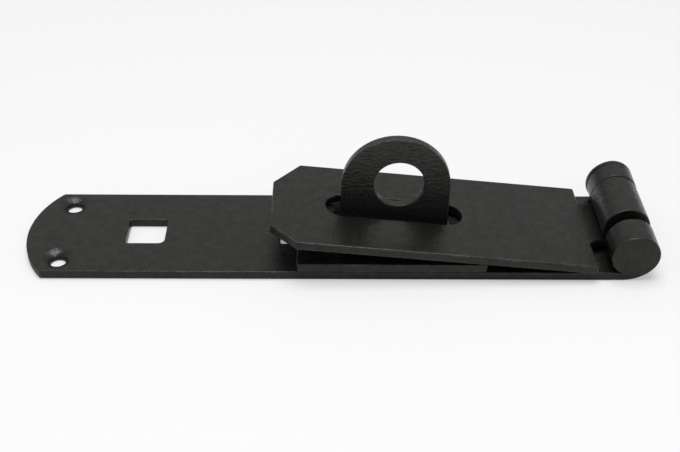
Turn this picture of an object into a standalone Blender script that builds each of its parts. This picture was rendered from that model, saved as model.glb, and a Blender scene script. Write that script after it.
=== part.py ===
"""Heavy strap hasp with a rolled hinge, and its loose staple: a plate with an upright eye.

Metres, +Z up. The hasp lies closed on its back. X runs along the strap with the hinge at the
+X end, Y runs across it and Z stands off the mounting surface, which is at Z = 0. The origin is
the middle of the overall length and of the leaf's width, on the mounting surface.
"""
import math

import bmesh
import bpy
from mathutils import Vector

MM = 0.001

# Strap stock
OVERALL_LENGTH = 200.5 * MM
STRAP_WIDTH = 42.0 * MM
STRAP_THICKNESS = 3.0 * MM
EDGE_BREAK = 0.35 * MM
SEAT_GAP = 0.3 * MM

# Hinge: pin, rolled knuckles and the welded pin heads
PIN_DIAMETER = 8.6 * MM
PIN_HEAD_DIAMETER = 12.8 * MM
PIN_HEAD_THICKNESS = 1.0 * MM
FIRST_BEND_SLACK = 3.4 * MM     # the base's roll starts this much wider than it ends
PIN_RISE = 1.8 * MM             # the pin stands this much higher than in a tight roll
ARM_KNUCKLE_LENGTH = 18.8 * MM
FAR_KNUCKLE_LENGTH = 8.6 * MM
KNUCKLE_SIDE_PLAY = 4.2 * MM    # open gap at the near side of the arm's knuckle

# Base leaf
END_ARC_RADIUS = 32.5 * MM
SCREW_HOLE_DIAMETER = 4.8 * MM
COUNTERSINK_DIAMETER = 8.8 * MM
SCREW_SETBACK = 12.2 * MM       # from the rounded end to the pair of screw holes
SCREW_EDGE_DISTANCE = 6.6 * MM  # from the strap's side edges to the screw holes' centres
BOLT_SQUARE = 12.4 * MM
BOLT_CORNER_RADIUS = 0.8 * MM
FIRST_BOLT_SETBACK = 38.4 * MM  # from the rounded end to the first square hole
BOLT_PITCH = 49.8 * MM
BOLT_COUNT = 3
NOTCH_RELIEF = 0.5 * MM         # the notch reaches this far under the arm's shoulders

# Staple plate and eye
STAPLE_LENGTH = 59.5 * MM
STAPLE_THICKNESS = 3.0 * MM
STAPLE_CORNER_RADIUS = 1.0 * MM
STAPLE_SCREW_SETBACK = 7.0 * MM  # from the plate's ends to its screw holes
STAPLE_SCREW_SPACING = 18.0 * MM  # across the plate, clear of the eye between them
STAPLE_SETBACK = 33.85 * MM      # from the arm's shoulders to the plate's end under the arm
STAPLE_SIDE_SHIFT = 0.5 * MM     # the loose staple lies this far to the near side
EYE_THICKNESS = 3.0 * MM
EYE_FOOT_WIDTH = 35.2 * MM
EYE_RADIUS = 17.2 * MM
EYE_CENTRE_HEIGHT = 15.75 * MM   # the outer arc's centre above the foot
EYE_ARC_SHIFT = 0.25 * MM        # the arc stands a little off the foot's middle
SHACKLE_HOLE_DIAMETER = 16.0 * MM
SHACKLE_HOLE_SHIFT = 0.95 * MM   # the hole sits this far right of the arc's centre
SHACKLE_HOLE_RAISE = 0.65 * MM   # and this far above it
TENON_WIDTH = 24.0 * MM

# Hasp arm
ARM_OVERHANG = 1.2 * MM          # the arm is this much wider than the leaf, at the near side
TONGUE_REACH = 11.9 * MM         # from the pin's axis to the arm's shoulders
SLOT_SETBACK = 40.9 * MM         # from the shoulders to the slot, along the arm
TIP_LAND = 17.3 * MM             # from the slot to the tip
TIP_CHAMFER_LENGTH = 8.7 * MM
TIP_CHAMFER_NEAR = 7.9 * MM
TIP_CHAMFER_FAR = 11.4 * MM
SHOULDER_SKEW = 0.6 * MM         # the near shoulder is cut this much further right at its end
TONGUE_FLARE = 2.6 * MM          # the tongue is this much wider at the shoulders, near side
TONGUE_FLARE_LENGTH = 4.3 * MM
SLOT_END_PLAY = 4.4 * MM         # free length at each end of the eye's foot
SLOT_SIDE_PLAY = 4.1 * MM        # free width at each side of the eye
SLOT_SIDE_SHIFT = 0.4 * MM       # the slot lies this far to the near side

# Facets
ROLL_STEP = math.radians(6.0)
CORNER_STEP = math.radians(15.0)
END_ARC_STEP = math.radians(3.0)
EYE_ARC_STEP = math.radians(4.5)
SCREW_HOLE_SIDES = 32
ROUND_SIDES = 64

# Tools reach past the metal that they cut or trim
MARGIN = 5.0 * MM
TOOL_DEPTH = 60.0 * MM
WELD_DISTANCE = 0.001 * MM

# Worked out from the sizes above
LEFT_END = -OVERALL_LENGTH / 2
HALF_WIDTH = STRAP_WIDTH / 2
BORE_RADIUS = PIN_DIAMETER / 2 + SEAT_GAP
KNUCKLE_RADIUS = BORE_RADIUS + STRAP_THICKNESS
PIN_X = OVERALL_LENGTH / 2 - KNUCKLE_RADIUS
PIN_Z = KNUCKLE_RADIUS + PIN_RISE
ARM_KNUCKLE_FAR = HALF_WIDTH - FAR_KNUCKLE_LENGTH - SEAT_GAP
ARM_KNUCKLE_NEAR = ARM_KNUCKLE_FAR - ARM_KNUCKLE_LENGTH
NOTCH_FAR = ARM_KNUCKLE_FAR + SEAT_GAP
NOTCH_NEAR = ARM_KNUCKLE_NEAR - KNUCKLE_SIDE_PLAY
SHOULDER_X = PIN_X - TONGUE_REACH
STAPLE_BOTTOM = STRAP_THICKNESS + SEAT_GAP
STAPLE_TOP = STAPLE_BOTTOM + STAPLE_THICKNESS
STAPLE_X = SHOULDER_X - STAPLE_SETBACK - STAPLE_LENGTH / 2
SLOT_LENGTH = EYE_FOOT_WIDTH + 2 * SLOT_END_PLAY
SLOT_WIDTH = EYE_THICKNESS + 2 * SLOT_SIDE_PLAY
ARM_NEAR_EDGE = -HALF_WIDTH - ARM_OVERHANG
BLADE_LENGTH = SLOT_SETBACK + SLOT_LENGTH + TIP_LAND

# The arm's underside clears the base at its shoulders and the staple plate at its right end
ARM_SLOPE = math.atan((STAPLE_TOP - STRAP_THICKNESS) / STAPLE_SETBACK)


def clear_scene():
    """Start from an empty scene."""
    for old in list(bpy.data.objects):
        bpy.data.objects.remove(old)


def new_collection(name):
    """Add a collection to the scene."""
    made = bpy.data.collections.new(name)
    bpy.context.scene.collection.children.link(made)
    return made


def arc(centre, radius, start, end, step=ROLL_STEP):
    """Points on an arc, from one angle to another, both ends included."""
    count = max(2, math.ceil(abs(end - start) / step))
    points = []
    for index in range(count + 1):
        angle = start + (end - start) * index / count
        points.append(centre + Vector((math.cos(angle), math.sin(angle))) * radius)
    return points


def rounded_outline(length, width, radius):
    """A rectangle about the origin with round corners; a radius of half the width makes a slot."""
    points = []
    for quarter, (side_x, side_y) in enumerate(((1, 1), (-1, 1), (-1, -1), (1, -1))):
        corner = Vector((side_x * (length / 2 - radius), side_y * (width / 2 - radius)))
        start = quarter * math.pi / 2
        points += arc(corner, radius, start, start + math.pi / 2, CORNER_STEP)
    return points


def without_repeats(points):
    """Drop points that lie on the one before them."""
    kept = []
    for point in points:
        if not kept or (point - kept[-1]).length > WELD_DISTANCE:
            kept.append(point)
    return kept


def flat_outline(name, points, thickness, collection):
    """A plate cut to an outline in its own XY plane, centred on that plane."""
    points = without_repeats(points)
    curve = bpy.data.curves.new(name, "CURVE")
    curve.dimensions = "2D"
    curve.fill_mode = "BOTH"
    curve.extrude = thickness / 2
    spline = curve.splines.new("POLY")
    spline.points.add(len(points) - 1)
    for spot, point in zip(spline.points, points):
        spot.co = (point[0], point[1], 0.0, 1.0)
    spline.use_cyclic_u = True
    drawn = bpy.data.objects.new(name + "_curve", curve)
    collection.objects.link(drawn)
    bpy.context.view_layer.update()

    evaluated = drawn.evaluated_get(bpy.context.evaluated_depsgraph_get())
    mesh = bpy.data.meshes.new_from_object(evaluated)
    mesh.name = name
    shape = bmesh.new()
    shape.from_mesh(mesh)
    bmesh.ops.remove_doubles(shape, verts=shape.verts, dist=WELD_DISTANCE)
    for side in (-1, 1):
        cap = [face for face in shape.faces if all(side * vert.co.z > 0 for vert in face.verts)]
        bmesh.ops.dissolve_faces(shape, faces=cap)
    bmesh.ops.recalc_face_normals(shape, faces=shape.faces)
    shape.to_mesh(mesh)
    shape.free()
    plate = bpy.data.objects.new(name, mesh)
    collection.objects.link(plate)
    plate.matrix_world = drawn.matrix_world
    bpy.data.objects.remove(drawn)
    return plate


def turned(name, profile, collection, sides=ROUND_SIDES):
    """A turned solid about its own Z axis; the profile runs from top to bottom at +X."""
    mesh = bpy.data.meshes.new(name)
    points = [(radius, 0.0, height) for radius, height in profile]
    mesh.from_pydata(points, [(index, index + 1) for index in range(len(points) - 1)], [])
    body = bpy.data.objects.new(name, mesh)
    collection.objects.link(body)
    screw = body.modifiers.new("turn", "SCREW")
    screw.axis = "Z"
    screw.steps = sides
    screw.render_steps = sides
    screw.use_merge_vertices = True
    screw.merge_threshold = WELD_DISTANCE
    screw.use_smooth_shade = True
    return body


def settle(piece):
    """Keep what a piece's modifiers make as its own mesh."""
    bpy.context.view_layer.update()
    evaluated = piece.evaluated_get(bpy.context.evaluated_depsgraph_get())
    mesh = bpy.data.meshes.new_from_object(evaluated)
    piece.modifiers.clear()
    piece.data = mesh


def as_cutter(tool):
    """Mark an object as a cutter, which isn't part of the model."""
    tool.hide_render = True
    tool.display_type = "WIRE"
    return tool


def boolean(piece, tool, operation):
    """Cut a piece with a tool, or trim it to the tool."""
    step = piece.modifiers.new(tool.name, "BOOLEAN")
    step.operation = operation
    step.solver = "EXACT"
    step.object = tool
    return step


def break_edges(piece, width=EDGE_BREAK):
    """Take the sharpness off the sheared edges."""
    bevel = piece.modifiers.new("edge_break", "BEVEL")
    bevel.limit_method = "ANGLE"
    bevel.angle_limit = math.radians(50.0)
    bevel.width = width
    bevel.segments = 2
    bevel.harden_normals = True


def smooth_round_faces(piece):
    """Shade the rolled faces smooth and keep the sheared corners crisp."""
    piece.data.shade_smooth()
    piece.data.set_sharp_from_angle(angle=math.radians(30.0))


def painted(piece, colour, roughness):
    """Give a piece its own satin paint."""
    paint = bpy.data.materials.new(piece.name + "_paint")
    paint.use_nodes = True
    shader = paint.node_tree.nodes["Principled BSDF"]
    shader.inputs["Base Color"].default_value = (*colour, 1.0)
    shader.inputs["Roughness"].default_value = roughness
    shader.inputs["Metallic"].default_value = 0.2
    piece.data.materials.clear()
    piece.data.materials.append(paint)


def rolled_strip(underside, top, end_angle):
    """Close a strip's side outline round the pin, from the tangent points to the roll's end."""
    start_angle = math.atan2(underside[-1].y, underside[-1].x)
    outer = arc(Vector((0.0, 0.0)), KNUCKLE_RADIUS, start_angle, end_angle)
    inner = arc(Vector((0.0, 0.0)), BORE_RADIUS, end_angle, start_angle)
    return underside[:-1] + outer + inner + top[::-1]


def base_profile():
    """The base leaf's side outline about the pin: flat strip, wide first bend, then the roll."""
    bend_radius = KNUCKLE_RADIUS + FIRST_BEND_SLACK
    turn = math.acos((bend_radius - PIN_Z) / FIRST_BEND_SLACK)
    floor = -PIN_Z
    bend_x = -FIRST_BEND_SLACK * math.sin(turn)
    bend_centre = Vector((bend_x, floor + bend_radius))
    first = -math.pi / 2
    underside = [Vector((LEFT_END - PIN_X - MARGIN, floor))]
    underside += arc(bend_centre, bend_radius, first, first + turn)
    top = [Vector((LEFT_END - PIN_X - MARGIN, floor + STRAP_THICKNESS))]
    top += arc(bend_centre, bend_radius - STRAP_THICKNESS, first, first + turn)
    seam_height = floor + STRAP_THICKNESS + SEAT_GAP
    end_angle = math.pi - math.asin(seam_height / KNUCKLE_RADIUS)
    return rolled_strip(underside, top, end_angle)


def base_plan():
    """The base leaf seen from above: rounded end, and the notch for the arm's knuckle."""
    half_angle = math.asin(HALF_WIDTH / END_ARC_RADIUS)
    centre = Vector((LEFT_END + END_ARC_RADIUS, 0.0))
    beyond = PIN_X + KNUCKLE_RADIUS + MARGIN
    notch_back = SHOULDER_X - NOTCH_RELIEF
    outline = [Vector((beyond, HALF_WIDTH))]
    outline += arc(centre, END_ARC_RADIUS, math.pi - half_angle, math.pi + half_angle, END_ARC_STEP)
    outline += [Vector((beyond, -HALF_WIDTH)), Vector((beyond, NOTCH_NEAR))]
    outline += [Vector((notch_back, NOTCH_NEAR)), Vector((notch_back, NOTCH_FAR))]
    outline += [Vector((beyond, NOTCH_FAR))]
    return outline


def countersunk_hole(name, x, y, top, thickness, collection):
    """A cutter for one countersunk screw hole through a plate whose top face is at that height."""
    radius = SCREW_HOLE_DIAMETER / 2
    mouth = COUNTERSINK_DIAMETER / 2
    profile = [(0.0, MARGIN), (mouth + MARGIN, MARGIN), (radius, radius - mouth)]
    profile += [(radius, -thickness - MARGIN), (0.0, -thickness - MARGIN)]
    tool = turned(name, profile, collection, SCREW_HOLE_SIDES)
    tool.location = (x, y, top)
    return as_cutter(tool)


def base_leaf(parts, cutters):
    """The long leaf: rounded and drilled at one end, notched and rolled round the pin at the other."""
    leaf = flat_outline("base_leaf", base_profile(), STRAP_WIDTH + 2 * MARGIN, parts)
    leaf.rotation_euler = (math.pi / 2, 0.0, 0.0)
    leaf.location = (PIN_X, 0.0, PIN_Z)
    boolean(leaf, as_cutter(flat_outline("base_plan", base_plan(), TOOL_DEPTH, cutters)), "INTERSECT")
    for index in range(BOLT_COUNT):
        square = rounded_outline(BOLT_SQUARE, BOLT_SQUARE, BOLT_CORNER_RADIUS)
        tool = flat_outline(f"bolt_square_{index + 1}", square, TOOL_DEPTH, cutters)
        tool.location = (LEFT_END + FIRST_BOLT_SETBACK + index * BOLT_PITCH, 0.0, 0.0)
        boolean(leaf, as_cutter(tool), "DIFFERENCE")
    for label, side in (("near", -1), ("far", 1)):
        x = LEFT_END + SCREW_SETBACK
        y = side * (HALF_WIDTH - SCREW_EDGE_DISTANCE)
        tool = countersunk_hole(f"base_screw_{label}", x, y, STRAP_THICKNESS, STRAP_THICKNESS, cutters)
        boolean(leaf, tool, "DIFFERENCE")
    break_edges(leaf)
    for label, side in (("near", -1), ("far", 1)):
        boolean(leaf, pin_head_recess(label, side, cutters), "DIFFERENCE")
    painted(leaf, (0.030, 0.032, 0.029), 0.42)
    smooth_round_faces(leaf)
    return leaf


def pin_head_recess(label, side, collection):
    """A cutter for the shallow counterbore that a pin head fills."""
    radius = PIN_HEAD_DIAMETER / 2 + SEAT_GAP
    depth = PIN_HEAD_THICKNESS + SEAT_GAP
    profile = [(0.0, MARGIN), (radius, MARGIN), (radius, -depth), (0.0, -depth)]
    tool = turned(f"pin_head_recess_{label}", profile, collection)
    tool.location = (PIN_X, side * HALF_WIDTH, PIN_Z)
    tool.rotation_euler = (-side * math.pi / 2, 0.0, 0.0)
    return as_cutter(tool)


def hinge_pin(parts):
    """The pin, with the welded and dressed head that holds it at each end."""
    shaft = PIN_DIAMETER / 2
    head = PIN_HEAD_DIAMETER / 2
    inner_end = HALF_WIDTH - PIN_HEAD_THICKNESS
    profile = [(0.0, HALF_WIDTH), (head, HALF_WIDTH), (head, inner_end), (shaft, inner_end)]
    profile += [(radius, -height) for radius, height in reversed(profile)]
    pin = turned("hinge_pin", profile, parts)
    pin.location = (PIN_X, 0.0, PIN_Z)
    pin.rotation_euler = (-math.pi / 2, 0.0, 0.0)
    settle(pin)
    painted(pin, (0.033, 0.034, 0.031), 0.45)
    smooth_round_faces(pin)
    return pin


def shoulder_corner():
    """The arm's lower shoulder edge, seen from the pin and turned level with the arm."""
    drop = STRAP_THICKNESS + SEAT_GAP - PIN_Z
    x = -TONGUE_REACH * math.cos(ARM_SLOPE) - drop * math.sin(ARM_SLOPE)
    z = -TONGUE_REACH * math.sin(ARM_SLOPE) + drop * math.cos(ARM_SLOPE)
    return Vector((x, z))


def arm_profile():
    """The arm's side outline about the pin: level blade, tongue tangent to the roll, tight roll."""
    corner = shoulder_corner()
    upwards = math.atan2(-corner.y, -corner.x)
    tongue = upwards - math.asin(KNUCKLE_RADIUS / corner.length)
    below = tongue - math.pi / 2
    away = Vector((math.cos(below), math.sin(below)))
    mitre = STRAP_THICKNESS * math.tan(tongue / 2)
    tip = corner.x - BLADE_LENGTH - MARGIN
    underside = [Vector((tip, corner.y)), corner, away * KNUCKLE_RADIUS]
    top = [Vector((tip, corner.y + STRAP_THICKNESS))]
    top += [Vector((corner.x - mitre, corner.y + STRAP_THICKNESS)), away * BORE_RADIUS]
    reach = math.acos((BORE_RADIUS - SEAT_GAP) / KNUCKLE_RADIUS)
    return rolled_strip(underside, top, below + 2 * math.pi - reach)


def arm_plan(shoulder):
    """The arm seen square on: clipped tip, square shoulders, and the flared tongue."""
    tip = shoulder - BLADE_LENGTH
    beyond = KNUCKLE_RADIUS + MARGIN
    outline = [(tip, ARM_NEAR_EDGE + TIP_CHAMFER_NEAR), (tip, HALF_WIDTH - TIP_CHAMFER_FAR)]
    outline += [(tip + TIP_CHAMFER_LENGTH, HALF_WIDTH), (shoulder, HALF_WIDTH)]
    outline += [(shoulder, ARM_KNUCKLE_FAR), (beyond, ARM_KNUCKLE_FAR), (beyond, ARM_KNUCKLE_NEAR)]
    outline += [(shoulder + TONGUE_FLARE_LENGTH, ARM_KNUCKLE_NEAR)]
    outline += [(shoulder, ARM_KNUCKLE_NEAR - TONGUE_FLARE), (shoulder + SHOULDER_SKEW, ARM_NEAR_EDGE)]
    outline += [(tip + TIP_CHAMFER_LENGTH, ARM_NEAR_EDGE)]
    return [Vector(point) for point in outline]


def hasp_arm(parts, cutters):
    """The slotted arm that folds over the staple, with its own knuckle rolled round the pin."""
    axis = bpy.data.objects.new("arm_axis", None)
    parts.objects.link(axis)
    axis.location = (PIN_X, 0.0, PIN_Z)
    axis.rotation_euler = (0.0, ARM_SLOPE, 0.0)
    arm = flat_outline("hasp_arm", arm_profile(), STRAP_WIDTH + 2 * MARGIN, parts)
    arm.parent = axis
    arm.rotation_euler = (math.pi / 2, 0.0, 0.0)
    corner = shoulder_corner()
    plan = flat_outline("arm_plan", arm_plan(corner.x), TOOL_DEPTH, cutters)
    plan.parent = axis
    boolean(arm, as_cutter(plan), "INTERSECT")
    obround = rounded_outline(SLOT_LENGTH, SLOT_WIDTH, SLOT_WIDTH / 2)
    slot = flat_outline("arm_slot", obround, TOOL_DEPTH, cutters)
    slot.parent = axis
    slot.location = (slot_centre(corner), -SLOT_SIDE_SHIFT, corner.y)
    boolean(arm, as_cutter(slot), "DIFFERENCE")
    break_edges(arm)
    painted(arm, (0.036, 0.038, 0.035), 0.40)
    smooth_round_faces(arm)
    return arm


def slot_centre(corner):
    """Where the slot sits along the arm, from the pin's axis."""
    return corner.x - SLOT_SETBACK - SLOT_LENGTH / 2


def eye_x():
    """Where the eye stands along the strap: under the middle of the closed arm's slot."""
    corner = shoulder_corner()
    middle = corner.y + STRAP_THICKNESS / 2
    return PIN_X + slot_centre(corner) * math.cos(ARM_SLOPE) + middle * math.sin(ARM_SLOPE)


def staple_plate(parts, cutters):
    """The plate that carries the eye, with its screw holes and the mortise for the eye's tenon."""
    outline = rounded_outline(STAPLE_LENGTH, STRAP_WIDTH, STAPLE_CORNER_RADIUS)
    plate = flat_outline("staple_plate", outline, STAPLE_THICKNESS, parts)
    plate.location = (STAPLE_X, -STAPLE_SIDE_SHIFT, STAPLE_BOTTOM + STAPLE_THICKNESS / 2)
    reach = STAPLE_LENGTH / 2 - STAPLE_SCREW_SETBACK
    for label_x, side_x in (("left", -1), ("right", 1)):
        for label_y, side_y in (("near", -1), ("far", 1)):
            name = f"staple_screw_{label_x}_{label_y}"
            x = STAPLE_X + side_x * reach
            y = side_y * STAPLE_SCREW_SPACING / 2 - STAPLE_SIDE_SHIFT
            tool = countersunk_hole(name, x, y, STAPLE_TOP, STAPLE_THICKNESS, cutters)
            boolean(plate, tool, "DIFFERENCE")
    mortise = rounded_outline(TENON_WIDTH + 2 * SEAT_GAP, EYE_THICKNESS + 2 * SEAT_GAP, SEAT_GAP)
    tool = flat_outline("eye_mortise", mortise, TOOL_DEPTH, cutters)
    tool.location = (eye_x(), -STAPLE_SIDE_SHIFT, STAPLE_TOP)
    boolean(plate, as_cutter(tool), "DIFFERENCE")
    break_edges(plate)
    painted(plate, (0.030, 0.032, 0.029), 0.45)
    smooth_round_faces(plate)
    return plate


def tangent_angle(point, side):
    """Where a line from a foot corner touches the eye's outer arc, as an angle about its centre."""
    return math.atan2(point.y, point.x) + side * math.acos(EYE_RADIUS / point.length)


def eye_outline():
    """The eye from the front, about its outer arc's centre: tenon, foot, straight sides and arc."""
    foot = -EYE_CENTRE_HEIGHT
    under = foot - SEAT_GAP - STAPLE_THICKNESS
    middle = -EYE_ARC_SHIFT
    left = Vector((middle - EYE_FOOT_WIDTH / 2, foot))
    right = Vector((middle + EYE_FOOT_WIDTH / 2, foot))
    start = tangent_angle(right, 1)
    end = tangent_angle(left, -1) + 2 * math.pi
    outline = [left, Vector((middle - TENON_WIDTH / 2, foot)), Vector((middle - TENON_WIDTH / 2, under))]
    outline += [Vector((middle + TENON_WIDTH / 2, under)), Vector((middle + TENON_WIDTH / 2, foot)), right]
    outline += arc(Vector((0.0, 0.0)), EYE_RADIUS, start, end, EYE_ARC_STEP)
    return outline


def staple_eye(parts, cutters):
    """The upright eye for the padlock, standing in the staple plate."""
    eye = flat_outline("staple_eye", eye_outline(), EYE_THICKNESS, parts)
    eye.rotation_euler = (math.pi / 2, 0.0, 0.0)
    eye.location = (eye_x() + EYE_ARC_SHIFT, -STAPLE_SIDE_SHIFT, STAPLE_TOP + SEAT_GAP + EYE_CENTRE_HEIGHT)
    radius = SHACKLE_HOLE_DIAMETER / 2
    profile = [(0.0, MARGIN), (radius, MARGIN), (radius, -MARGIN), (0.0, -MARGIN)]
    tool = turned("shackle_hole", profile, cutters)
    tool.location = eye.location + Vector((SHACKLE_HOLE_SHIFT, 0.0, SHACKLE_HOLE_RAISE))
    tool.rotation_euler = (math.pi / 2, 0.0, 0.0)
    boolean(eye, as_cutter(tool), "DIFFERENCE")
    break_edges(eye)
    painted(eye, (0.028, 0.030, 0.027), 0.48)
    smooth_round_faces(eye)
    return eye


def main():
    """Build the hasp and its staple."""
    clear_scene()
    parts = new_collection("hasp_and_staple")
    cutters = new_collection("cutters")
    base_leaf(parts, cutters)
    hinge_pin(parts)
    hasp_arm(parts, cutters)
    staple_plate(parts, cutters)
    staple_eye(parts, cutters)
    bpy.context.view_layer.update()


main()
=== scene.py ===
"""A closed strap hasp over its loose staple, in thick black paint, on a white table."""
import math

import bmesh
import bpy
from mathutils import Euler, Matrix, Vector


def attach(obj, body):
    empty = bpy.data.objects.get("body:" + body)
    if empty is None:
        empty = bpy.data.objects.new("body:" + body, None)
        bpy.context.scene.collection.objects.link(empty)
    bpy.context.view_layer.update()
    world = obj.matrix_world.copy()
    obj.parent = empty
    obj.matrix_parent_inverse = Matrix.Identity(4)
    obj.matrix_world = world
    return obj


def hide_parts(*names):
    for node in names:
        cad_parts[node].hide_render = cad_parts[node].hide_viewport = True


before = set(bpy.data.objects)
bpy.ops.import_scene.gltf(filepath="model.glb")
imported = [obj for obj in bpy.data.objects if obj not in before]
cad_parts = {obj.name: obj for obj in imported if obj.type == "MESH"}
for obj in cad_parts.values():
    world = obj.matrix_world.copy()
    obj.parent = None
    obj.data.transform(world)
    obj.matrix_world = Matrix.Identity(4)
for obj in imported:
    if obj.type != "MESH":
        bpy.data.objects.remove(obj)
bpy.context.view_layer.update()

MM = 0.001

# Strap stock and hinge
OVERALL_LENGTH = 200.5 * MM
STRAP_WIDTH = 42.0 * MM
STRAP_THICKNESS = 3.0 * MM
SEAT_GAP = 0.3 * MM
EDGE_ROUND = 0.45 * MM
RIM_ROUND = 0.2 * MM
FRONT_RIM_ROUND = 0.4 * MM
SEAM_FILL = 0.2 * MM
ARM_EDGE_ROUND = 0.7 * MM
TIP_EDGE_ROUND = 0.4 * MM
PIN_DIAMETER = 8.6 * MM
FIRST_BEND_SLACK = 3.4 * MM
PIN_RISE = 1.8 * MM
ARM_KNUCKLE_LENGTH = 18.8 * MM
FAR_KNUCKLE_LENGTH = 8.6 * MM
KNUCKLE_SIDE_PLAY = 4.2 * MM
WELD_CAP_RADIUS = 7.45 * MM
WELD_CAP_DEPTH = 1.2 * MM
KNUCKLE_END_INSET = 0.12 * MM
FAR_WELD_RADIUS = 7.72 * MM
FAR_WELD_DEPTH = 1.6 * MM
FAR_WELD_SHIFT = Vector((-0.125, 0.0, 0.05)) * MM
HINGE_TILT = 0.028
TILT_HEIGHT = 6.0 * MM

# Base leaf
END_ARC_RADIUS = 32.5 * MM
SCREW_HOLE_DIAMETER = 4.8 * MM
COUNTERSINK_DIAMETER = 8.8 * MM
SINK_SOFTENING = 0.8 * MM
SINK_CURVE = 2.6
SINK_STEPS = 16
SINK_DEEPENING = 1.15
SCREW_SETBACK = 12.2 * MM
SCREW_EDGE_DISTANCE = 6.6 * MM
BOLT_SQUARE = 12.4 * MM
BOLT_CORNER_RADIUS = 0.8 * MM
FILLED_CORNER_RADIUS = 2.0 * MM
FIRST_BOLT_SETBACK = 38.4 * MM
BOLT_PITCH = 49.8 * MM
BOLT_COUNT = 3
NOTCH_RELIEF = 0.5 * MM
# A thin dark sheet in the notch's near corner stands in for the shade there.
SHADE_SHEET_REACH = 4.0 * MM
SHADE_SHEET_THICKNESS = 0.5 * MM

# Staple plate and eye
STAPLE_LENGTH = 59.5 * MM
STAPLE_THICKNESS = 3.0 * MM
STAPLE_CORNER_RADIUS = 1.0 * MM
STAPLE_SCREW_SETBACK = 7.0 * MM
STAPLE_SCREW_SPACING = 18.0 * MM
STAPLE_SETBACK = 33.85 * MM
STAPLE_SIDE_SHIFT = 0.5 * MM
EYE_THICKNESS = 3.0 * MM
EYE_FOOT_WIDTH = 35.2 * MM
EYE_RADIUS = 17.2 * MM
EYE_CENTRE_HEIGHT = 15.75 * MM
EYE_ARC_SHIFT = 0.25 * MM
SHACKLE_HOLE_DIAMETER = 16.0 * MM
SHACKLE_HOLE_SHIFT = 0.95 * MM
SHACKLE_HOLE_RAISE = 0.65 * MM
TENON_WIDTH = 24.0 * MM
FOOT_BEAD_RADIUS = 0.6 * MM

# Hasp arm
ARM_OVERHANG = 1.2 * MM
TONGUE_REACH = 11.9 * MM
SLOT_SETBACK = 40.9 * MM
TIP_LAND = 17.3 * MM
TIP_CHAMFER_LENGTH = 8.7 * MM
TIP_CHAMFER_NEAR = 7.9 * MM
TIP_CHAMFER_FAR = 11.4 * MM
SHOULDER_SKEW = 0.6 * MM
TONGUE_FLARE = 2.6 * MM
TONGUE_FLARE_LENGTH = 4.3 * MM
SLOT_END_PLAY = 4.4 * MM
SLOT_SIDE_PLAY = 4.1 * MM
SLOT_SIDE_SHIFT = 0.4 * MM

# Facets and tools
ROLL_STEP = math.radians(3.0)
CORNER_STEP = math.radians(6.0)
END_ARC_STEP = math.radians(1.5)
SCREW_HOLE_SIDES = 64
ROUND_SIDES = 128
MARGIN = 5.0 * MM
TOOL_DEPTH = 60.0 * MM
WELD_DISTANCE = 0.001 * MM
FLAT_CORNERS = 30
FLAT_ANGLE = math.radians(0.3)
ROUNDED_ANGLE = math.radians(50.0)
SHARP_ANGLE = math.radians(40.0)

# Worked out from the sizes above
LEFT_END = -OVERALL_LENGTH / 2
TIP_EDGES_END = LEFT_END + 0.42 * OVERALL_LENGTH
HALF_WIDTH = STRAP_WIDTH / 2
BORE_RADIUS = PIN_DIAMETER / 2 + SEAT_GAP
KNUCKLE_RADIUS = BORE_RADIUS + STRAP_THICKNESS
PIN_X = OVERALL_LENGTH / 2 - KNUCKLE_RADIUS
PIN_Z = KNUCKLE_RADIUS + PIN_RISE
ARM_KNUCKLE_FAR = HALF_WIDTH - FAR_KNUCKLE_LENGTH - SEAT_GAP
ARM_KNUCKLE_NEAR = ARM_KNUCKLE_FAR - ARM_KNUCKLE_LENGTH
NOTCH_FAR = ARM_KNUCKLE_FAR + SEAT_GAP
NOTCH_NEAR = ARM_KNUCKLE_NEAR - KNUCKLE_SIDE_PLAY
SHOULDER_X = PIN_X - TONGUE_REACH
STAPLE_BOTTOM = STRAP_THICKNESS + SEAT_GAP
STAPLE_TOP = STAPLE_BOTTOM + STAPLE_THICKNESS
STAPLE_X = SHOULDER_X - STAPLE_SETBACK - STAPLE_LENGTH / 2
SLOT_LENGTH = EYE_FOOT_WIDTH + 2 * SLOT_END_PLAY
SLOT_WIDTH = EYE_THICKNESS + 2 * SLOT_SIDE_PLAY
ARM_NEAR_EDGE = -HALF_WIDTH - ARM_OVERHANG
BLADE_LENGTH = SLOT_SETBACK + SLOT_LENGTH + TIP_LAND
ARM_SLOPE = math.atan((STAPLE_TOP - STRAP_THICKNESS) / STAPLE_SETBACK)
PIN_AXIS = Vector((PIN_X, 0.0, PIN_Z))

# Paint: scales are bumps per metre, POOL_REACH is in millimetres, and CHIP_DEPTH is a share of the bump
PAINT_COLOUR = (0.0065, 0.0069, 0.0060)
PAINT_SHEEN = (0.94, 1.0, 0.88, 1.0)
# Lighter colour on the rounded edges: rubbed paint, and partly a painted highlight.
RUBBED_AND_HIGHLIGHT_COLOUR = (0.055, 0.053, 0.047)
PAINT_IOR = 1.32
EYE_IOR = 1.36
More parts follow.
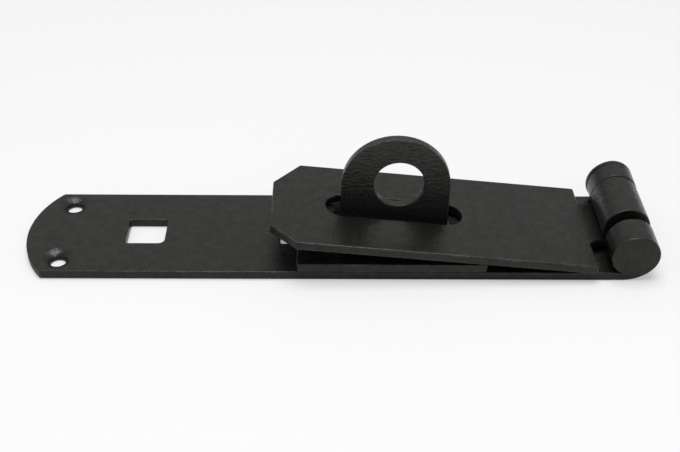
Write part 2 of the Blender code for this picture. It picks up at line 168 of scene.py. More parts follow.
# The eye's colour runs from dark at its foot to lighter at its top: painted shade low down and painted light
# high up.
EYE_LIT_TOP_COLOUR = (0.020, 0.021, 0.018)
EYE_SHADED_FOOT_COLOUR = (0.0120, 0.0120, 0.0114)
PAINT_MOTTLE = 0.2
POOL_DULLNESS = 0.6
SHEARED_DULLNESS = 0.45
PAINT_ROUGHNESS = 0.29
PAINT_GRAIN = 0.15
PLATE_GRAIN = 0.2
MOTTLE_LIGHTENING = 1.35
FINE_SCALE = 1300.0
CHIP_SCALE = 1100.0
CELL_SCALE = 480.0
FOLD_SCALE = 430.0
MOTTLE_SCALE = 330.0
RUB_AND_HIGHLIGHT_SCALE = 260.0
BROAD_SCALE = 45.0
EYE_WRINKLE = 0.75
WRINKLES_FROM = 15.5 * MM
WRINKLES_FULL = 25.0 * MM
# Heights over which the eye's painted light takes over from its painted shade.
EYE_LIT_FROM = 26.0 * MM
EYE_LIT_FULL = 35.0 * MM
END_DULL_FROM = 10.0 * MM
END_DULL_FULL = 4.0 * MM
CHIP_DARK = (0.03, 0.03, 0.03)
CHIP_BRIGHT = (0.13, 0.13, 0.135)
CHIP_DULLNESS = 0.25
CHIP_DEPTH = 0.08
BUMP_DISTANCE = 0.001
POOL_REACH = (32.0, 11.0, 6.0)

# Table and light
LAMP_PLACE = Vector((0.0, 0.02, 1.1))
LAMP_SIZE = 0.75
LAMP_POWER = 8.0
ROOM_LIGHT = 0.46
FLOOR_GLOW = 0.35
ROOM_REFLECTION = 0.86
BACKDROP = 0.92
FAR_WALL = 0.1
FAR_WALL_HEIGHT = 0.55
TABLE_NEAR = (0.93, 0.935, 0.93)
# The table's far colour is painted shade, darker where the light falls off.
TABLE_FAR_SHADE = (0.84, 0.85, 0.845)
TABLE_GLOW = (0.97, 0.975, 0.97, 1.0)
TABLE_SIZE = 4.0
TABLE_DROP = 0.02 * MM

# The camera, fitted to the photo
FRAME_WIDTH = 680
FOCAL_PIXELS = 1063.7
SENSOR_WIDTH = 36.0
CAMERA_PLACE = Vector((-4.38, -278.1, 211.98)) * MM
CAMERA_PITCH = math.radians(36.61)
CAMERA_YAW = 0.0197
CAMERA_ROLL = 0.0159


def arc(centre, radius, start, end, step=ROLL_STEP):
    """Points on an arc, both ends included."""
    count = max(2, math.ceil(abs(end - start) / step))
    points = []
    for index in range(count + 1):
        angle = start + (end - start) * index / count
        points.append(centre + Vector((math.cos(angle), math.sin(angle))) * radius)
    return points


def rounded_outline(length, width, *radii):
    """A rectangle about the origin with round corners: one radius, or four from the far right leftwards."""
    points = []
    corners = ((1, 1), (-1, 1), (-1, -1), (1, -1))
    for quarter, (side_x, side_y) in enumerate(corners):
        radius = radii[quarter % len(radii)]
        corner = Vector((side_x * (length / 2 - radius), side_y * (width / 2 - radius)))
        start = quarter * math.pi / 2
        points += arc(corner, radius, start, start + math.pi / 2, CORNER_STEP)
    return points


def place(name, mesh):
    """Show a mesh as an object."""
    made = bpy.data.objects.new(name, mesh)
    bpy.context.scene.collection.objects.link(made)
    return made


def evaluated_mesh(piece):
    """A piece's mesh with its modifiers applied."""
    bpy.context.view_layer.update()
    evaluated = piece.evaluated_get(bpy.context.evaluated_depsgraph_get())
    return bpy.data.meshes.new_from_object(evaluated)


def prism(name, points, thickness):
    """A closed prism on an outline in its own XY plane, centred on that plane."""
    kept = []
    for point in points:
        if not kept or (point - kept[-1]).length > WELD_DISTANCE:
            kept.append(point)
    shape = bmesh.new()
    low = [shape.verts.new((x, y, -thickness / 2)) for x, y in kept]
    high = [shape.verts.new((x, y, thickness / 2)) for x, y in kept]
    shape.faces.new(low)
    shape.faces.new(high)
    for index in range(len(kept)):
        after = (index + 1) % len(kept)
        shape.faces.new((low[index], low[after], high[after], high[index]))
    bmesh.ops.recalc_face_normals(shape, faces=shape.faces)
    mesh = bpy.data.meshes.new(name)
    shape.to_mesh(mesh)
    shape.free()
    return place(name, mesh)


def turned(name, profile, sides=ROUND_SIDES):
    """A turned solid about its own Z axis; the profile runs from top to bottom at +X."""
    mesh = bpy.data.meshes.new(name)
    points = [(radius, 0.0, height) for radius, height in profile]
    mesh.from_pydata(points, [(index, index + 1) for index in range(len(points) - 1)], [])
    body = place(name, mesh)
    screw = body.modifiers.new("turn", "SCREW")
    screw.axis = "Z"
    screw.steps = sides
    screw.render_steps = sides
    screw.use_merge_vertices = True
    screw.merge_threshold = WELD_DISTANCE
    return body


def boolean(piece, tool, operation="DIFFERENCE"):
    """Cut a piece with a tool, or trim it to the tool."""
    step = piece.modifiers.new(tool.name, "BOOLEAN")
    step.operation = operation
    step.solver = "EXACT"
    step.object = tool


def round_edges(piece, width, rims_from, front_side):
    """Round the sheared edges as the paint does, and less at the clipped tip and the knuckles' inner rims."""
    shape = bmesh.new()
    shape.from_mesh(piece.data)
    share = shape.edges.layers.float.new("bevel_weight_edge")
    for edge in shape.edges:
        if edge.calc_face_angle(0.0) > ROUNDED_ANGLE:
            middle = (edge.verts[0].co + edge.verts[1].co) / 2
            edge[share] = 1.0
            if middle.x > rims_from and abs(middle.y) < HALF_WIDTH - MM:
                edge[share] = (FRONT_RIM_ROUND if middle.y * front_side > 0.0 else RIM_ROUND) / width
            elif width == ARM_EDGE_ROUND and middle.x < TIP_EDGES_END:
                edge[share] = TIP_EDGE_ROUND / width
    shape.to_mesh(piece.data)
    shape.free()
    bevel = piece.modifiers.new("edge_round", "BEVEL")
    bevel.limit_method = "WEIGHT"
    bevel.width = width
    bevel.segments = 4
    bevel.material = 1
    bevel.use_clamp_overlap = False
    bevel.loop_slide = False


def refill_flats(mesh):
    """Fill each large flat side with holes afresh, so that no filling crosses a hole."""
    shape = bmesh.new()
    shape.from_mesh(mesh)
    for start in [face for face in shape.faces if len(face.verts) > FLAT_CORNERS]:
        if not start.is_valid:
            continue
        normal = start.normal.copy()
        flat = {start}
        waiting = [start]
        while waiting:
            for edge in waiting.pop().edges:
                for face in edge.link_faces:
                    if face not in flat and face.normal.angle(normal, math.pi) < FLAT_ANGLE:
                        flat.add(face)
                        waiting.append(face)
        edges = [edge for face in flat for edge in face.edges]
        rim = [edge for edge in edges if sum(face in flat for face in edge.link_faces) == 1]
        bmesh.ops.delete(shape, geom=list(flat), context="FACES")
        filled = bmesh.ops.triangle_fill(shape, use_beauty=True, use_dissolve=False, edges=rim, normal=normal)
        for face in filled["geom"]:
            if isinstance(face, bmesh.types.BMFace):
                face.smooth = True
                face.normal_update()
                if face.normal.dot(normal) < 0.0:
                    face.normal_flip()
    shape.to_mesh(mesh)
    shape.free()


def settle(piece, tools=(), edge_width=0.0, rims_from=OVERALL_LENGTH, front_side=1):
    """Turn a piece into one plain mesh in the part's own frame, and mark its rounded edges."""
    piece.data.shade_smooth()
    for tool in tools:
        tool.data.shade_smooth()
    cut = evaluated_mesh(piece)
    cut.transform(piece.matrix_world)
    name = piece.name
    for spare in (piece, *tools):
        bpy.data.objects.remove(spare)
    plain = bpy.data.materials.new("mark")
    cut.materials.clear()
    cut.materials.append(plain)
    cut.materials.append(plain)
    rounded = place(name, cut)
    if edge_width:
        round_edges(rounded, edge_width, rims_from, front_side)
    mesh = evaluated_mesh(rounded)
    bpy.data.objects.remove(rounded)
    refill_flats(mesh)
    worn = mesh.attributes.new("rounded_edge", "FLOAT", "CORNER")
    for face in mesh.polygons:
        if face.material_index == 1:
            for corner in face.loop_indices:
                worn.data[corner].value = 1.0
        face.material_index = 0
    mesh.materials.clear()
    bpy.data.materials.remove(plain)
    mesh.set_sharp_from_angle(angle=SHARP_ANGLE)
    shaded = place(name, mesh)
    even = shaded.modifiers.new("even_shading", "WEIGHTED_NORMAL")
    even.mode = "FACE_AREA"
    even.weight = 100
    even.keep_sharp = True
    final = evaluated_mesh(shaded)
    bpy.data.objects.remove(shaded)
    final.name = name
    return place(name, final)


def tilt_knuckles(piece):
    """Lean the rolled end as the real hinge does: lower at the near side, higher at the far one."""
    for vertex in piece.data.vertices:
        along = min(max((vertex.co.x - PIN_X) / KNUCKLE_RADIUS + 1.0, 0.0), 1.0)
        upwards = min(vertex.co.z / TILT_HEIGHT, 1.0)
        vertex.co.z += HINGE_TILT * vertex.co.y * along * upwards
    return piece


def rolled_strip(underside, top, end_angle):
    """Close a strip's side outline round the pin."""
    start_angle = math.atan2(underside[-1].y, underside[-1].x)
    outer = arc(Vector((0.0, 0.0)), KNUCKLE_RADIUS, start_angle, end_angle)
    inner = arc(Vector((0.0, 0.0)), BORE_RADIUS, end_angle, start_angle)
    return underside[:-1] + outer + inner + top[::-1]


def base_profile():
    """The base leaf's side outline about the pin."""
    bend_radius = KNUCKLE_RADIUS + FIRST_BEND_SLACK
    turn = math.acos((bend_radius - PIN_Z) / FIRST_BEND_SLACK)
    floor = -PIN_Z
    bend_centre = Vector((-FIRST_BEND_SLACK * math.sin(turn), floor + bend_radius))
    first = -math.pi / 2
    underside = [Vector((LEFT_END - PIN_X - MARGIN, floor))]
    underside += arc(bend_centre, bend_radius, first, first + turn)
    top = [Vector((LEFT_END - PIN_X - MARGIN, floor + STRAP_THICKNESS))]
    top += arc(bend_centre, bend_radius - STRAP_THICKNESS, first, first + turn)
    seam_height = floor + STRAP_THICKNESS + SEAT_GAP
    end_angle = math.pi - math.asin(seam_height / KNUCKLE_RADIUS)
    return rolled_strip(underside, top, end_angle)


def base_plan():
    """The base leaf seen from above."""
    half_angle = math.asin(HALF_WIDTH / END_ARC_RADIUS)
    centre = Vector((LEFT_END + END_ARC_RADIUS, 0.0))
    beyond = PIN_X + KNUCKLE_RADIUS + MARGIN
    taper_start = PIN_X - 2 * KNUCKLE_RADIUS
    knuckle_end = HALF_WIDTH - KNUCKLE_END_INSET
    notch_back = SHOULDER_X - NOTCH_RELIEF
    outline = [Vector((beyond, knuckle_end)), Vector((PIN_X, knuckle_end)), Vector((taper_start, HALF_WIDTH))]
    outline += arc(centre, END_ARC_RADIUS, math.pi - half_angle, math.pi + half_angle, END_ARC_STEP)
    outline += [Vector((taper_start, -HALF_WIDTH)), Vector((PIN_X, -knuckle_end))]
    outline += [Vector((beyond, -knuckle_end)), Vector((beyond, NOTCH_NEAR))]
    outline += [Vector((notch_back, NOTCH_NEAR)), Vector((notch_back, NOTCH_FAR))]
    outline += [Vector((beyond, NOTCH_FAR))]
    return outline


def notch_shade_sheet():
    """A thin dark sheet across the bottom of the notch's near corner, beside the arm's tongue: painted shade
    where the table would show through.
    """
    left = SHOULDER_X - NOTCH_RELIEF - MM
    right = PIN_X - FIRST_BEND_SLACK
    near = NOTCH_NEAR - MM
    far = ARM_KNUCKLE_NEAR + SHADE_SHEET_REACH
    corners = ((left, near), (right, near), (right, far), (left, far))
    shade_sheet = prism("notch_shade_sheet", [Vector(corner) for corner in corners], SHADE_SHEET_THICKNESS)
    shade_sheet.location.z = SHADE_SHEET_THICKNESS / 2
    return shade_sheet


def countersunk_hole(name, x, y, top, thickness):
    """A tool for one screw hole, its countersink softened by thick paint."""
    radius = SCREW_HOLE_DIAMETER / 2
    mouth = COUNTERSINK_DIAMETER / 2
    depth = mouth - radius
    profile = [(0.0, MARGIN)]
    bottom = -SINK_DEEPENING * depth
    for index in range(-2, SINK_STEPS):
        share = (index + 0.5) / SINK_STEPS
        profile.append((radius + (depth + SINK_SOFTENING) * (1.0 - share) ** SINK_CURVE, bottom * share))
    profile += [(radius, bottom), (radius, -thickness - MARGIN), (0.0, -thickness - MARGIN)]
    tool = turned(name, profile, SCREW_HOLE_SIDES)
    tool.location = (x, y, top)
    return tool


def make_base_leaf():
    """The long leaf with its two outer knuckles."""
    leaf = prism("painted_base_leaf", base_profile(), STRAP_WIDTH + 2 * MARGIN)
    leaf.rotation_euler = (math.pi / 2, 0.0, 0.0)
    leaf.location = PIN_AXIS
    plan = prism("base_plan", base_plan(), TOOL_DEPTH)
    boolean(leaf, plan, "INTERSECT")
    # Painted shade: a thin dark sheet closes the notch's near corner.
    shade_sheet = notch_shade_sheet()
    boolean(leaf, shade_sheet, "UNION")
    tools = [plan, shade_sheet]
    for index in range(BOLT_COUNT):
        last_radius = FILLED_CORNER_RADIUS if index == 0 else BOLT_CORNER_RADIUS
        radii = (BOLT_CORNER_RADIUS, BOLT_CORNER_RADIUS, BOLT_CORNER_RADIUS, last_radius)
        tool = prism("bolt_square", rounded_outline(BOLT_SQUARE, BOLT_SQUARE, *radii), TOOL_DEPTH)
        tool.location = (LEFT_END + FIRST_BOLT_SETBACK + index * BOLT_PITCH, 0.0, 0.0)
        boolean(leaf, tool)
        tools.append(tool)
    for side in (-1, 1):
        y = side * (HALF_WIDTH - SCREW_EDGE_DISTANCE)
        tool = countersunk_hole("base_screw", LEFT_END + SCREW_SETBACK, y, STRAP_THICKNESS, STRAP_THICKNESS)
        boolean(leaf, tool)
        tools.append(tool)
    return tilt_knuckles(settle(leaf, tools, EDGE_ROUND, SHOULDER_X - 2 * NOTCH_RELIEF))


def make_hinge_pin():
    """The pin between the knuckles."""
    shaft = PIN_DIAMETER / 2
    half = HALF_WIDTH - WELD_CAP_DEPTH / 2
    pin = turned("painted_hinge_pin", [(0.0, half), (shaft, half), (shaft, -half), (0.0, -half)])
    pin.location = PIN_AXIS
    pin.rotation_euler = (-math.pi / 2, 0.0, 0.0)
    return tilt_knuckles(settle(pin))


def make_weld_cap(label, side, radius, depth, shift):
    """The dressed weld that fills a knuckle's end flush."""
    edge = 0.4 * MM
    crown = [(0.0, 0.0), (0.55 * radius, -0.01 * MM), (0.85 * radius, -0.03 * MM)]
    crown += [(radius - edge + edge * math.sin(turn), -0.03 * MM - edge + edge * math.cos(turn))
              for turn in (0.0, 0.4, 0.8, 1.2, math.pi / 2)]
    crown += [(radius, -0.6 * depth), (radius - 0.1 * MM, -depth)]
    crown.append((0.0, -depth))
    cap = turned(f"weld_cap_{label}", crown)
    cap.location = PIN_AXIS + Vector((0.0, side * HALF_WIDTH, 0.0)) + shift
    cap.rotation_euler = (-side * math.pi / 2, 0.0, 0.0)
    return tilt_knuckles(settle(cap))


def shoulder_corner():
    """The arm's lower shoulder edge, seen from the pin and turned level with the arm."""
    drop = STRAP_THICKNESS + SEAT_GAP - PIN_Z
    x = -TONGUE_REACH * math.cos(ARM_SLOPE) - drop * math.sin(ARM_SLOPE)
    z = -TONGUE_REACH * math.sin(ARM_SLOPE) + drop * math.cos(ARM_SLOPE)
    return Vector((x, z))


def slot_centre(corner):
    """Where the slot sits along the arm, from the pin's axis."""
    return corner.x - SLOT_SETBACK - SLOT_LENGTH / 2


def eye_x():
    """Where the eye stands along the strap."""
    corner = shoulder_corner()
    middle = corner.y + STRAP_THICKNESS / 2
    return PIN_X + slot_centre(corner) * math.cos(ARM_SLOPE) + middle * math.sin(ARM_SLOPE)


def arm_profile():
    """The arm's side outline about the pin."""
    corner = shoulder_corner()
    upwards = math.atan2(-corner.y, -corner.x)
    tongue = upwards - math.asin(KNUCKLE_RADIUS / corner.length)
    below = tongue - math.pi / 2
    away = Vector((math.cos(below), math.sin(below)))
    mitre = STRAP_THICKNESS * math.tan(tongue / 2)
    tip = corner.x - BLADE_LENGTH - MARGIN
    underside = [Vector((tip, corner.y)), corner, away * KNUCKLE_RADIUS]
    top = [Vector((tip, corner.y + STRAP_THICKNESS))]
    top += [Vector((corner.x - mitre, corner.y + STRAP_THICKNESS)), away * BORE_RADIUS]
    reach = math.acos((BORE_RADIUS - SEAT_GAP) / KNUCKLE_RADIUS)
    return rolled_strip(underside, top, below + 2 * math.pi - reach)


def arm_plan(shoulder):
    """The arm seen square on."""
    tip = shoulder - BLADE_LENGTH
    beyond = KNUCKLE_RADIUS + MARGIN
    outline = [(tip, ARM_NEAR_EDGE + TIP_CHAMFER_NEAR), (tip, HALF_WIDTH - TIP_CHAMFER_FAR)]
    outline += [(tip + TIP_CHAMFER_LENGTH, HALF_WIDTH), (shoulder, HALF_WIDTH)]
    knuckle_far = ARM_KNUCKLE_FAR + SEAM_FILL
    outline += [(shoulder, knuckle_far), (beyond, knuckle_far), (beyond, ARM_KNUCKLE_NEAR)]
    outline += [(shoulder + TONGUE_FLARE_LENGTH, ARM_KNUCKLE_NEAR)]
    outline += [(shoulder, ARM_KNUCKLE_NEAR - TONGUE_FLARE), (shoulder + SHOULDER_SKEW, ARM_NEAR_EDGE)]
    outline += [(tip + TIP_CHAMFER_LENGTH, ARM_NEAR_EDGE)]
    return [Vector(point) for point in outline]


def make_hasp_arm():
    """The slotted arm with the middle knuckle."""
    slope = Euler((0.0, ARM_SLOPE, 0.0)).to_matrix().to_4x4()
    level = Matrix.Translation(PIN_AXIS) @ slope
    corner = shoulder_corner()
    arm = prism("painted_hasp_arm", arm_profile(), STRAP_WIDTH + 2 * MARGIN)
    arm.matrix_world = level @ Matrix.Rotation(math.pi / 2, 4, "X")
    plan = prism("arm_plan", arm_plan(corner.x), TOOL_DEPTH)
    plan.matrix_world = level
    boolean(arm, plan, "INTERSECT")
    slot = prism("arm_slot", rounded_outline(SLOT_LENGTH, SLOT_WIDTH, SLOT_WIDTH / 2), TOOL_DEPTH)
    slot.matrix_world = level @ Matrix.Translation((slot_centre(corner), -SLOT_SIDE_SHIFT, corner.y))
    boolean(arm, slot)
    return settle(arm, [plan, slot], ARM_EDGE_ROUND, SHOULDER_X + 2 * SHOULDER_SKEW, -1)


def make_staple_plate():
    """The plate that carries the eye."""
    plate = prism("painted_staple_plate", rounded_outline(STAPLE_LENGTH, STRAP_WIDTH, STAPLE_CORNER_RADIUS),
                  STAPLE_THICKNESS)
    plate.location = (STAPLE_X, -STAPLE_SIDE_SHIFT, STAPLE_BOTTOM + STAPLE_THICKNESS / 2)
    reach = STAPLE_LENGTH / 2 - STAPLE_SCREW_SETBACK
    tools = []
    for side_x in (-1, 1):
        for side_y in (-1, 1):
            x = STAPLE_X + side_x * reach
            y = side_y * STAPLE_SCREW_SPACING / 2 - STAPLE_SIDE_SHIFT
            tool = countersunk_hole("staple_screw", x, y, STAPLE_TOP, STAPLE_THICKNESS)
            boolean(plate, tool)
            tools.append(tool)
    mortise = rounded_outline(TENON_WIDTH + 2 * SEAT_GAP, EYE_THICKNESS + 2 * SEAT_GAP, SEAT_GAP)
    tool = prism("eye_mortise", mortise, TOOL_DEPTH)
    tool.location = (eye_x(), -STAPLE_SIDE_SHIFT, STAPLE_TOP)
    boolean(plate, tool)
    tools.append(tool)
    return settle(plate, tools, EDGE_ROUND)


def tangent_angle(point, side):
    """Where a line from a foot corner touches the eye's outer arc."""
    return math.atan2(point.y, point.x) + side * math.acos(EYE_RADIUS / point.length)


def eye_outline():
    """The eye from the front, about its outer arc's centre."""
    foot = -EYE_CENTRE_HEIGHT
    under = foot - SEAT_GAP - STAPLE_THICKNESS
    middle = -EYE_ARC_SHIFT
    left = Vector((middle - EYE_FOOT_WIDTH / 2, foot))
    right = Vector((middle + EYE_FOOT_WIDTH / 2, foot))
    start = tangent_angle(right, 1)
    end = tangent_angle(left, -1) + 2 * math.pi
    outline = [left, Vector((middle - TENON_WIDTH / 2, foot)), Vector((middle - TENON_WIDTH / 2, under))]
    outline += [Vector((middle + TENON_WIDTH / 2, under)), Vector((middle + TENON_WIDTH / 2, foot)), right]
    outline += arc(Vector((0.0, 0.0)), EYE_RADIUS, start, end, END_ARC_STEP)
    return outline


def make_staple_eye():
    """The upright eye for the padlock."""
    eye = prism("painted_staple_eye", eye_outline(), EYE_THICKNESS)
    eye.rotation_euler = (math.pi / 2, 0.0, 0.0)
    eye.location = (eye_x() + EYE_ARC_SHIFT, -STAPLE_SIDE_SHIFT, STAPLE_TOP + SEAT_GAP + EYE_CENTRE_HEIGHT)
    radius = SHACKLE_HOLE_DIAMETER / 2
    tool = turned("shackle_hole", [(0.0, MARGIN), (radius, MARGIN), (radius, -MARGIN), (0.0, -MARGIN)])
    tool.location = eye.location + Vector((SHACKLE_HOLE_SHIFT, 0.0, SHACKLE_HOLE_RAISE))
    tool.rotation_euler = (math.pi / 2, 0.0, 0.0)
    boolean(eye, tool)
    return settle(eye, [tool], EDGE_ROUND)


def make_foot_bead():
    """The weld and thick paint round the foot of the eye."""
    length = EYE_FOOT_WIDTH + FOOT_BEAD_RADIUS
    path = rounded_outline(length, EYE_THICKNESS + FOOT_BEAD_RADIUS, FOOT_BEAD_RADIUS)
    curve = bpy.data.curves.new("foot_bead", "CURVE")
    curve.dimensions = "3D"
    curve.bevel_depth = FOOT_BEAD_RADIUS
    curve.bevel_resolution = 4
    spline = curve.splines.new("POLY")
    spline.points.add(len(path) - 1)
    for index, (spot, point) in enumerate(zip(spline.points, path)):
        spot.co = (point.x, point.y, 0.0, 1.0)
        spot.radius = 1.0 + 0.12 * math.sin(index * 1.7)
    spline.use_cyclic_u = True
    drawn = bpy.data.objects.new("foot_bead_path", curve)
    bpy.context.scene.collection.objects.link(drawn)
    drawn.location = (eye_x(), -STAPLE_SIDE_SHIFT, STAPLE_TOP)
    mesh = evaluated_mesh(drawn)
    mesh.transform(drawn.matrix_world)
    bpy.data.objects.remove(drawn)
    bead = place("foot_bead", mesh)
    mesh.shade_smooth()
    return bead


class Wire:
    """A socket of a shader, with arithmetic."""

    def __init__(self, tree, socket=None):
        self.tree = tree
        self.socket = socket

    def node(self, kind, settings=None, inputs=None, output=0):
        """Add a node: its settings first, then the values or links of its sockets."""
        made = self.tree.nodes.new(kind)
        for key, value in (settings or {}).items():
            setattr(made, key, value)
        for key, value in (inputs or {}).items():
            if isinstance(value, Wire):
                self.tree.links.new(value.socket, made.inputs[key])
            else:
                made.inputs[key].default_value = value
        return Wire(self.tree, made.outputs[output])

    def math(self, operation, first, second):
        return self.node("ShaderNodeMath", {"operation": operation}, {0: first, 1: second})

    def clamped(self, low=0.0, high=1.0):
        return self.node("ShaderNodeClamp", None, {"Value": self, "Min": low, "Max": high})

    def __add__(self, other):
        return self.math("ADD", self, other)

    def __radd__(self, other):
        return self.math("ADD", other, self)

    def __sub__(self, other):
        return self.math("SUBTRACT", self, other)

    def __rsub__(self, other):
        return self.math("SUBTRACT", other, self)

    def __mul__(self, other):
        return self.math("MULTIPLY", self, other)

    def __rmul__(self, other):
        return self.math("MULTIPLY", other, self)

    def __abs__(self):
        return self.math("ABSOLUTE", self, 0.0)

    def component(self, axis):
        """One of the three numbers of a vector: 0, 1 or 2."""
        return self.node("ShaderNodeSeparateXYZ", None, {0: self}, output=axis)


def new_material(name):
    """An empty node material: its tree and its output node."""
    material = bpy.data.materials.new(name)
    material.use_nodes = True
    material.node_tree.nodes.clear()
    output = material.node_tree.nodes.new("ShaderNodeOutputMaterial")
    return material, Wire(material.node_tree), output


def noise(spot, scale, detail=2.0, roughness=0.5):
    """Noise from 0 to 1 with a scale in bumps per metre."""
    return spot.node("ShaderNodeTexNoise", None,
                     {"Vector": spot, "Scale": scale, "Detail": detail, "Roughness": roughness})


def mix_colour(factor, first, second):
    """Blend two colours. A Mix node names its sockets more than once, so they go by number here."""
    tree = factor.tree
    made = tree.nodes.new("ShaderNodeMix")
    made.data_type = "RGBA"
    for socket, value in ((made.inputs[0], factor), (made.inputs[6], first), (made.inputs[7], second)):
        if isinstance(value, Wire):
            tree.links.new(value.socket, socket)
        else:
            socket.default_value = (*value, 1.0)
    return Wire(tree, made.outputs[2])


def near_point(spot, place_mm, reach_mm):
    """1 at a point and falling to 0 at the given reach along each axis, in millimetres."""
    offset = spot.node("ShaderNodeVectorMath", {"operation": "SUBTRACT"},
                       {0: spot, 1: tuple(value * MM for value in place_mm)})
    scaled = spot.node("ShaderNodeVectorMath", {"operation": "DIVIDE"},
                       {0: offset, 1: tuple(value * MM for value in reach_mm)})
    return 1.0 - spot.node("ShaderNodeVectorMath", {"operation": "LENGTH"}, {0: scaled}, output="Value")


def hammered_paint(name, grain=PAINT_GRAIN, wrinkle=0.0, chips=(), pool=None, ior=PAINT_IOR):
    """Thick satin black paint with a fine hammered grain, rubbed and given a painted highlight on the edges,
    and chipped to the metal.
    """
    material, wire, output = new_material(name)
    spot = wire.node("ShaderNodeTexCoord", output="Object")
    fine = noise(spot, FINE_SCALE, 3.0, 0.6)
    cells = noise(spot, CELL_SCALE, 2.0, 0.5)
    broad = noise(spot, BROAD_SCALE, 2.0, 0.5)
    edge = wire.node("ShaderNodeAttribute", {"attribute_name": "rounded_edge"}, output="Fac")
    # Patches of lighter colour on the rounded edges: rubbed paint and a painted highlight.
    rubbed_and_highlit = (edge * (noise(spot, RUB_AND_HIGHLIGHT_SCALE, 4.0, 0.65) * 6.0 - 2.9)).clamped()
    mottle = (noise(spot, MOTTLE_SCALE, 4.0, 0.7) * 2.6 - 0.8 + broad * 0.4 - 0.2).clamped()
    tone = mix_colour(mottle, PAINT_COLOUR, tuple(MOTTLE_LIGHTENING * value for value in PAINT_COLOUR))
    gloss = (PAINT_ROUGHNESS - 0.06 + cells * 0.12).clamped()
    if pool:
        gloss = gloss + (near_point(spot, *pool) * 4.0).clamped() * POOL_DULLNESS
    facing = wire.node("ShaderNodeNewGeometry", output="True Normal")
    sheared = 1.0 - abs(facing.component(2))
    rounded_end = spot.node("ShaderNodeMapRange", None, {
        "Value": spot.component(0),
        "From Min": LEFT_END + END_DULL_FROM, "From Max": LEFT_END + END_DULL_FULL})
    gloss = gloss + sheared * rounded_end * SHEARED_DULLNESS
    height = fine * grain + cells * (0.6 * grain)
    if wrinkle:
        flat = spot.node("ShaderNodeVectorMath", {"operation": "MULTIPLY"}, {0: spot, 1: (1.0, 1.0, 2.4)})
        folds = noise(flat, FOLD_SCALE, 3.0, 0.6)
        rise = spot.component(2)
        band = spot.node("ShaderNodeMapRange", {"interpolation_type": "SMOOTHSTEP"}, {
            "Value": rise, "From Min": WRINKLES_FROM, "From Max": WRINKLES_FULL,
            "To Min": 0.05, "To Max": 1.0})
        height = height + folds * band * wrinkle
        # Painted light and shade on the eye: darker at its foot, lighter towards its top, in place of the
        # mottled tone.
        top = spot.node("ShaderNodeMapRange", {"interpolation_type": "SMOOTHSTEP"},
                        {"Value": rise, "From Min": EYE_LIT_FROM, "From Max": EYE_LIT_FULL})
        tone = mix_colour(top, EYE_SHADED_FOOT_COLOUR, EYE_LIT_TOP_COLOUR)
    # Rounded edges lightened: rubbed paint and painted highlight.
    tone = mix_colour(rubbed_and_highlit * 0.5, tone, RUBBED_AND_HIGHLIGHT_COLOUR)
    metallic = 0.0
    if chips:
        bare = 0.0
        for place_mm, reach_mm in chips:
            flake = near_point(spot, place_mm, reach_mm) + noise(spot, CHIP_SCALE, 3.0, 0.6) * 2.4 - 1.55
            bare = bare + (flake * 7.0).clamped()
        bare = bare.clamped()
        tone = mix_colour(bare, tone, mix_colour(fine, CHIP_DARK, CHIP_BRIGHT))
        gloss = gloss + bare * CHIP_DULLNESS
        height = height - bare * CHIP_DEPTH
        metallic = bare
    bump = wire.node("ShaderNodeBump", None, {"Strength": 1.0, "Distance": BUMP_DISTANCE, "Height": height})
    shader = wire.node("ShaderNodeBsdfPrincipled", None, {
        "Base Color": tone, "Roughness": gloss, "Metallic": metallic,
        "IOR": ior, "Specular Tint": PAINT_SHEEN,
        "Coat Weight": mottle * PAINT_MOTTLE, "Coat Roughness": PAINT_ROUGHNESS, "Normal": bump})
    wire.tree.links.new(shader.socket, output.inputs["Surface"])
    return material


def white_table():
    """A white table top that stays pale to the camera and keeps the shadow, painted darker towards the far
    side as painted shade.
    """
    material, wire, output = new_material("white_table")
    away = wire.node("ShaderNodeTexCoord", output="Object").component(1)
    # Painted shade: the table darkens towards the far side as the light falls off.
    far = wire.node("ShaderNodeMapRange", None, {"Value": away, "From Min": -0.1, "From Max": 0.2})
    tone = mix_colour(far, TABLE_NEAR, TABLE_FAR_SHADE)
    matt = wire.node("ShaderNodeBsdfDiffuse", None, {"Color": tone})
    glow = wire.node("ShaderNodeEmission", None, {"Color": TABLE_GLOW, "Strength": 1.0})
    camera_ray = wire.node("ShaderNodeLightPath", output="Is Camera Ray")
    surface = wire.node("ShaderNodeMixShader", None, {0: camera_ray * FLOOR_GLOW, 1: matt, 2: glow})
    wire.tree.links.new(surface.socket, output.inputs["Surface"])
    return material


def finish_piece(piece, body, slot, material, *nodes):
    """Paint a piece, let it ride on its body, and hide the parts it takes the place of, if any are named."""
    piece.data.materials.append(material)
    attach(piece, body)
    if nodes:
        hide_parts(*nodes)


def make_floor():
    """The table under the hasp."""
    shape = bmesh.new()
    bmesh.ops.create_grid(shape, x_segments=8, y_segments=8, size=TABLE_SIZE / 2)
    mesh = bpy.data.meshes.new("table_top")
    shape.to_mesh(mesh)
    shape.free()
    floor = place("table_top", mesh)
    floor.location.z = -TABLE_DROP
    floor.data.materials.append(white_table())


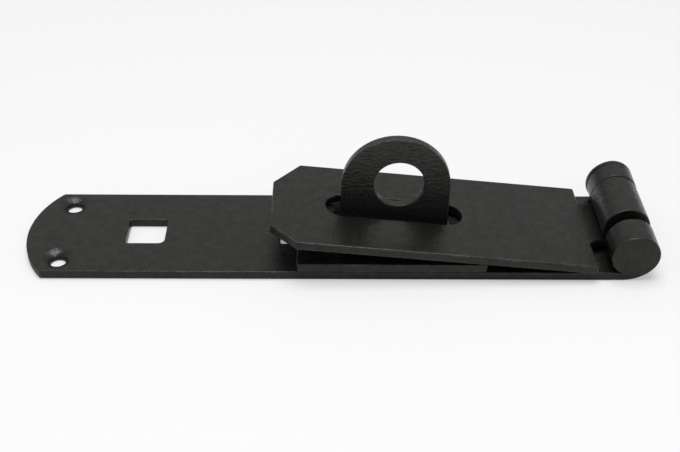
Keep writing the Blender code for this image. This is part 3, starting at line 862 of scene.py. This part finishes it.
def make_light():
    """A white room and one soft lamp overhead."""
    world = bpy.data.worlds.new("white_room")
    bpy.context.scene.world = world
    world.use_nodes = True
    tree = world.node_tree
    tree.nodes.clear()
    wire = Wire(tree)
    camera_ray = wire.node("ShaderNodeLightPath", output="Is Camera Ray")
    glossy_ray = wire.node("ShaderNodeLightPath", output="Is Glossy Ray")
    through_ray = wire.node("ShaderNodeLightPath", output="Is Transmission Ray")
    mirrored = (glossy_ray + through_ray).clamped()
    towards = wire.node("ShaderNodeTexCoord", output="Generated")
    high = wire.node("ShaderNodeMapRange", {"interpolation_type": "SMOOTHSTEP"}, {
        "Value": towards.component(2), "From Min": 0.0, "From Max": FAR_WALL_HEIGHT,
        "To Min": FAR_WALL, "To Max": 1.0})
    behind = (towards.component(1) * 4.0).clamped()
    reflection = ROOM_REFLECTION * (1.0 - behind * (1.0 - high))
    strength = ROOM_LIGHT + mirrored * (reflection - ROOM_LIGHT) + camera_ray * (BACKDROP - ROOM_LIGHT)
    light = wire.node("ShaderNodeBackground", None, {"Color": (1.0, 1.0, 1.0, 1.0), "Strength": strength})
    output = tree.nodes.new("ShaderNodeOutputWorld")
    tree.links.new(light.socket, output.inputs["Surface"])

    lamp = bpy.data.lights.new("overhead_softbox", "AREA")
    lamp.shape = "DISK"
    lamp.size = LAMP_SIZE
    lamp.energy = LAMP_POWER
    lamp_object = bpy.data.objects.new("overhead_softbox", lamp)
    bpy.context.scene.collection.objects.link(lamp_object)
    lamp_object.location = LAMP_PLACE
    lamp_object.rotation_euler = LAMP_PLACE.to_track_quat("Z", "Y").to_euler()


def make_camera():
    """The camera at the photo's angle."""
    cos_pitch = math.cos(CAMERA_PITCH)
    ahead = Vector((math.sin(CAMERA_YAW), math.cos(CAMERA_YAW), 0.0))
    forward = ahead * cos_pitch + Vector((0.0, 0.0, -math.sin(CAMERA_PITCH)))
    level = Vector((math.cos(CAMERA_YAW), -math.sin(CAMERA_YAW), 0.0))
    upright = level.cross(forward)
    right = math.cos(CAMERA_ROLL) * level + math.sin(CAMERA_ROLL) * upright
    up = -math.sin(CAMERA_ROLL) * level + math.cos(CAMERA_ROLL) * upright
    lens = bpy.data.cameras.new("photo_camera")
    lens.sensor_width = SENSOR_WIDTH
    lens.lens = FOCAL_PIXELS * SENSOR_WIDTH / FRAME_WIDTH
    lens.clip_start = 0.01
    camera = bpy.data.objects.new("photo_camera", lens)
    bpy.context.scene.collection.objects.link(camera)
    turn = Matrix((right, up, -forward)).transposed().to_4x4()
    camera.matrix_world = Matrix.Translation(CAMERA_PLACE) @ turn
    bpy.context.scene.camera = camera


make_camera()
make_light()
make_floor()
screw_x = (LEFT_END + SCREW_SETBACK) / MM
screw_y = (HALF_WIDTH - SCREW_EDGE_DISTANCE) / MM
countersink_chips = [((screw_x - 0.4, screw_y + 3.4, 2.4), (2.2, 2.0, 1.8)),
                     ((screw_x - 1.5, -screw_y + 3.6, 2.4), (2.0, 2.4, 1.8))]
leaf_paint = hammered_paint("leaf_paint", chips=countersink_chips)
finish_piece(make_base_leaf(), "base", "leaf_paint", leaf_paint, "base_leaf")
finish_piece(make_hinge_pin(), "base", "pin_paint", hammered_paint("pin_paint"), "hinge_pin")
weld_paint = hammered_paint("weld_paint", grain=0.8 * PAINT_GRAIN)
near_cap = make_weld_cap("near", -1, WELD_CAP_RADIUS, WELD_CAP_DEPTH, Vector())
finish_piece(near_cap, "base", "pin_paint", weld_paint)
far_cap = make_weld_cap("far", 1, FAR_WELD_RADIUS, FAR_WELD_DEPTH, FAR_WELD_SHIFT)
finish_piece(far_cap, "base", "pin_paint", weld_paint)
finish_piece(make_hasp_arm(), "arm", "arm_paint", hammered_paint("arm_paint"), "hasp_arm")
eye_foot = (eye_x() / MM, -STAPLE_SIDE_SHIFT / MM, STAPLE_TOP / MM)
plate_paint = hammered_paint("plate_paint", grain=PLATE_GRAIN, pool=(eye_foot, POOL_REACH))
finish_piece(make_staple_plate(), "staple", "staple_plate_paint", plate_paint, "staple_plate")
eye_paint = hammered_paint("eye_paint", wrinkle=EYE_WRINKLE, ior=EYE_IOR)
finish_piece(make_staple_eye(), "staple", "staple_eye_paint", eye_paint, "staple_eye")
finish_piece(make_foot_bead(), "staple", "staple_eye_paint", eye_paint)

bpy.context.scene.view_settings.view_transform = "Standard"
